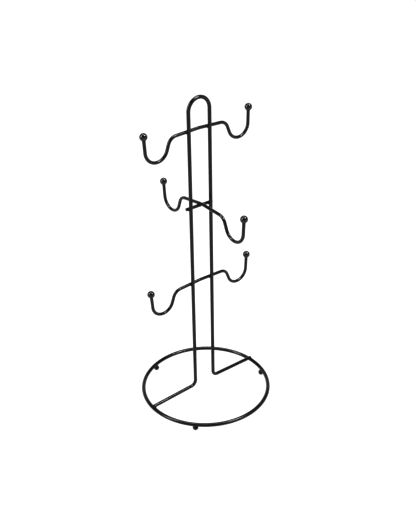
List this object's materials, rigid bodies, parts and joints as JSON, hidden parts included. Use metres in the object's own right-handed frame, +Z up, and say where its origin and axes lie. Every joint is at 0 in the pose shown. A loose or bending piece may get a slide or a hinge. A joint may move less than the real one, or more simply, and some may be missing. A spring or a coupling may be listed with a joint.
{
  "type": "mug tree",
  "caption": "Bent-wire mug tree: a ring base on ball feet, a tall hairpin frame, and two-ended hook arms with ball tips that hold mugs by their handles.",
  "frame": {"origin": "on the table, at the centre of the base ring", "axes": "+Z up; +X to the right along the plane of the frame, and +Y from the frame's front to its back"},
  "size_m": [0.166, 0.1648, 0.388],
  "materials": {
    "frame_coat": "semi-gloss black powder coat on steel wire",
    "hook_coat": "semi-gloss black powder coat on lighter steel wire",
    "ball_coat": "semi-gloss black powder coat on solid steel balls",
    "weld_coat": "black powder coat, a little rougher over the weld metal"
  },
  "bodies": {
    "root": {"base_ring": "frame_coat", "frame_wire": "frame_coat", "crossbar": "hook_coat", "back_foot": "ball_coat", "right_foot": "ball_coat", "front_foot": "ball_coat", "upper_arm": "hook_coat", "upper_left_ball": "ball_coat", "upper_right_ball": "ball_coat", "middle_arm": "hook_coat", "middle_front_ball": "ball_coat", "middle_back_ball": "ball_coat", "lower_arm": "hook_coat", "lower_left_ball": "ball_coat", "lower_right_ball": "ball_coat", "left_leg_weld": "weld_coat", "right_leg_weld": "weld_coat", "crossbar_left_weld": "weld_coat", "crossbar_right_weld": "weld_coat", "middle_arm_weld": "weld_coat", "upper_left_ball_weld": "weld_coat", "upper_right_ball_weld": "weld_coat", "upper_arm_left_weld": "weld_coat", "upper_arm_right_weld": "weld_coat", "middle_front_ball_weld": "weld_coat", "middle_back_ball_weld": "weld_coat", "lower_left_ball_weld": "weld_coat", "lower_right_ball_weld": "weld_coat", "lower_arm_left_weld": "weld_coat", "lower_arm_right_weld": "weld_coat"}
  },
  "joints": []
}
